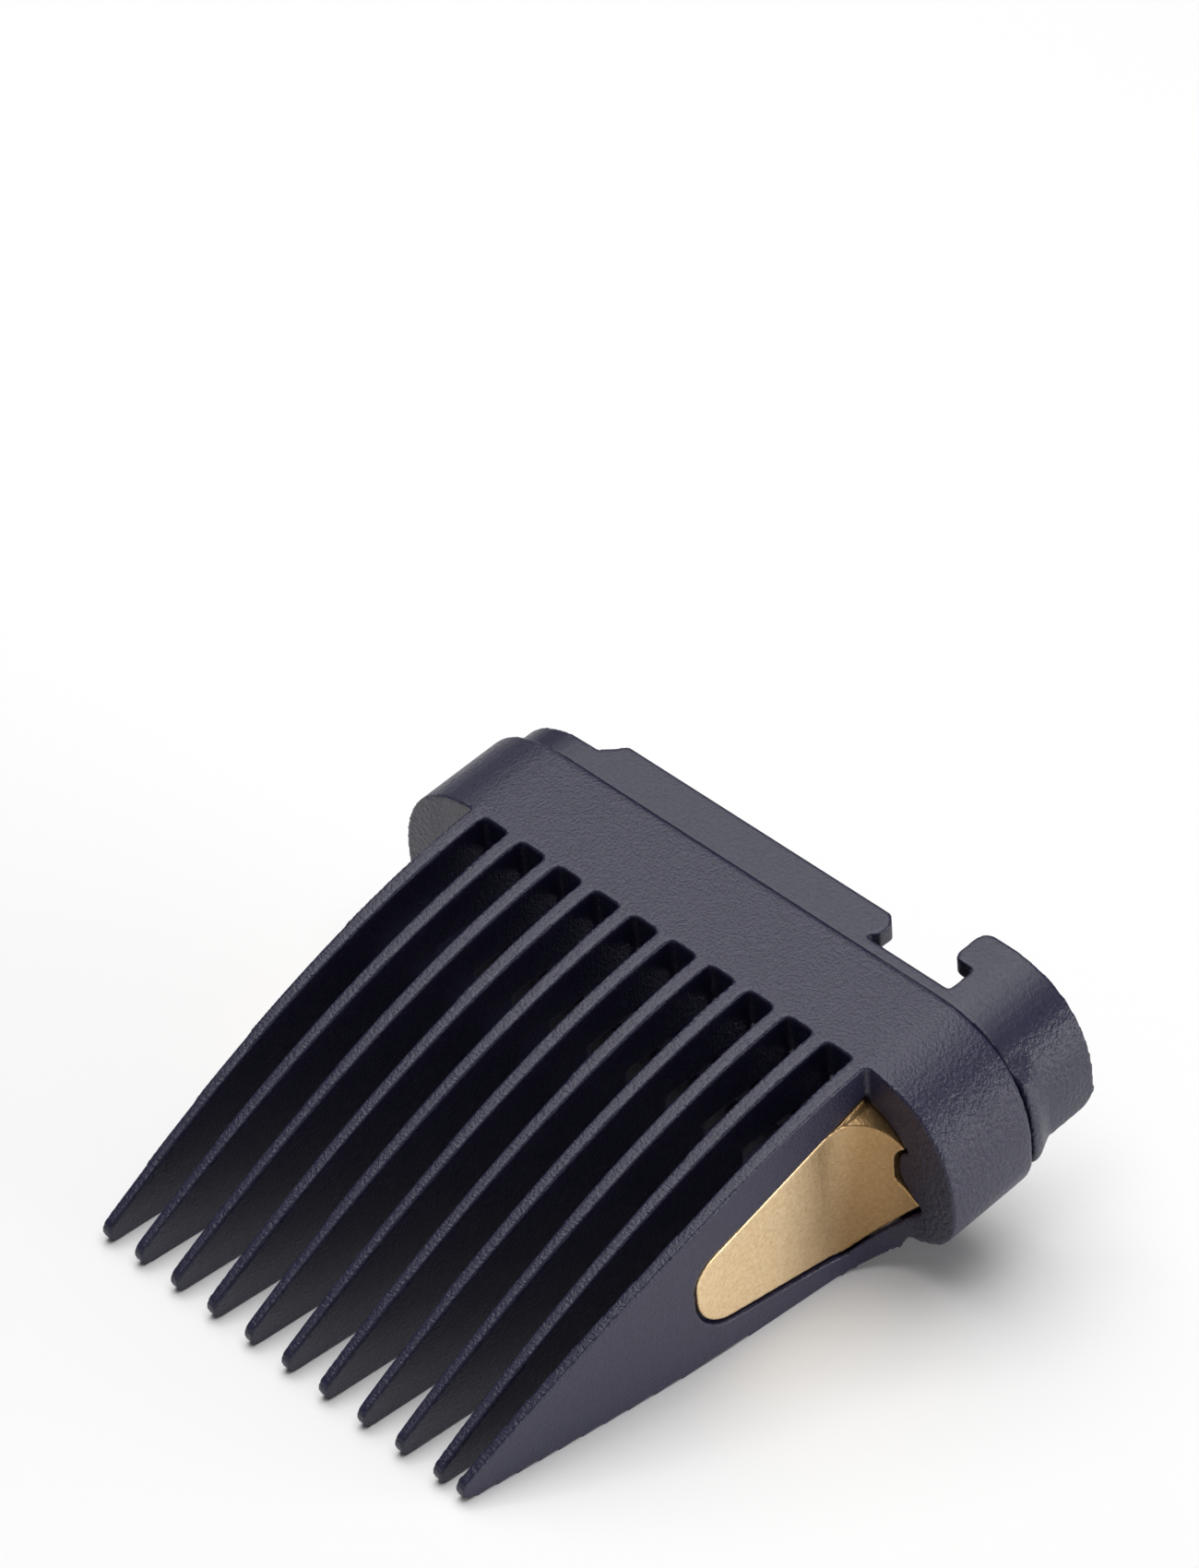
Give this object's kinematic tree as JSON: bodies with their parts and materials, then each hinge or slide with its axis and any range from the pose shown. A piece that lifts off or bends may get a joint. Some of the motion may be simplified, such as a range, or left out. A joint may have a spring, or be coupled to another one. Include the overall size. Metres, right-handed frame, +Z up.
{
  "type": "hair clipper guide comb",
  "caption": "Clip-on guide comb for a hair clipper: oval collar, long curved tooth plates, gold side inlays and a rear mounting sleeve with a tongue and a hooked side arm.",
  "frame": {"origin": "centre of the footprint, on the surface that the comb lies on", "axes": "+X across the teeth towards the side with the hooked arm, -Y towards the tooth tips, +Z up from the surface; the deck leans forwards by 9 degrees, as the comb lies"},
  "size_m": [0.0506, 0.0498, 0.0191],
  "materials": {
    "dark_plastic": "satin, fine spark-eroded grain",
    "sleeve_plastic": "satin, fine spark-eroded grain",
    "gold_plastic": "satin tan gold, fine grain"
  },
  "bodies": {
    "root": {"comb_moulding": "dark_plastic", "mounting_sleeve": "sleeve_plastic", "inlay_right": "gold_plastic", "inlay_left": "gold_plastic"}
  },
  "joints": []
}
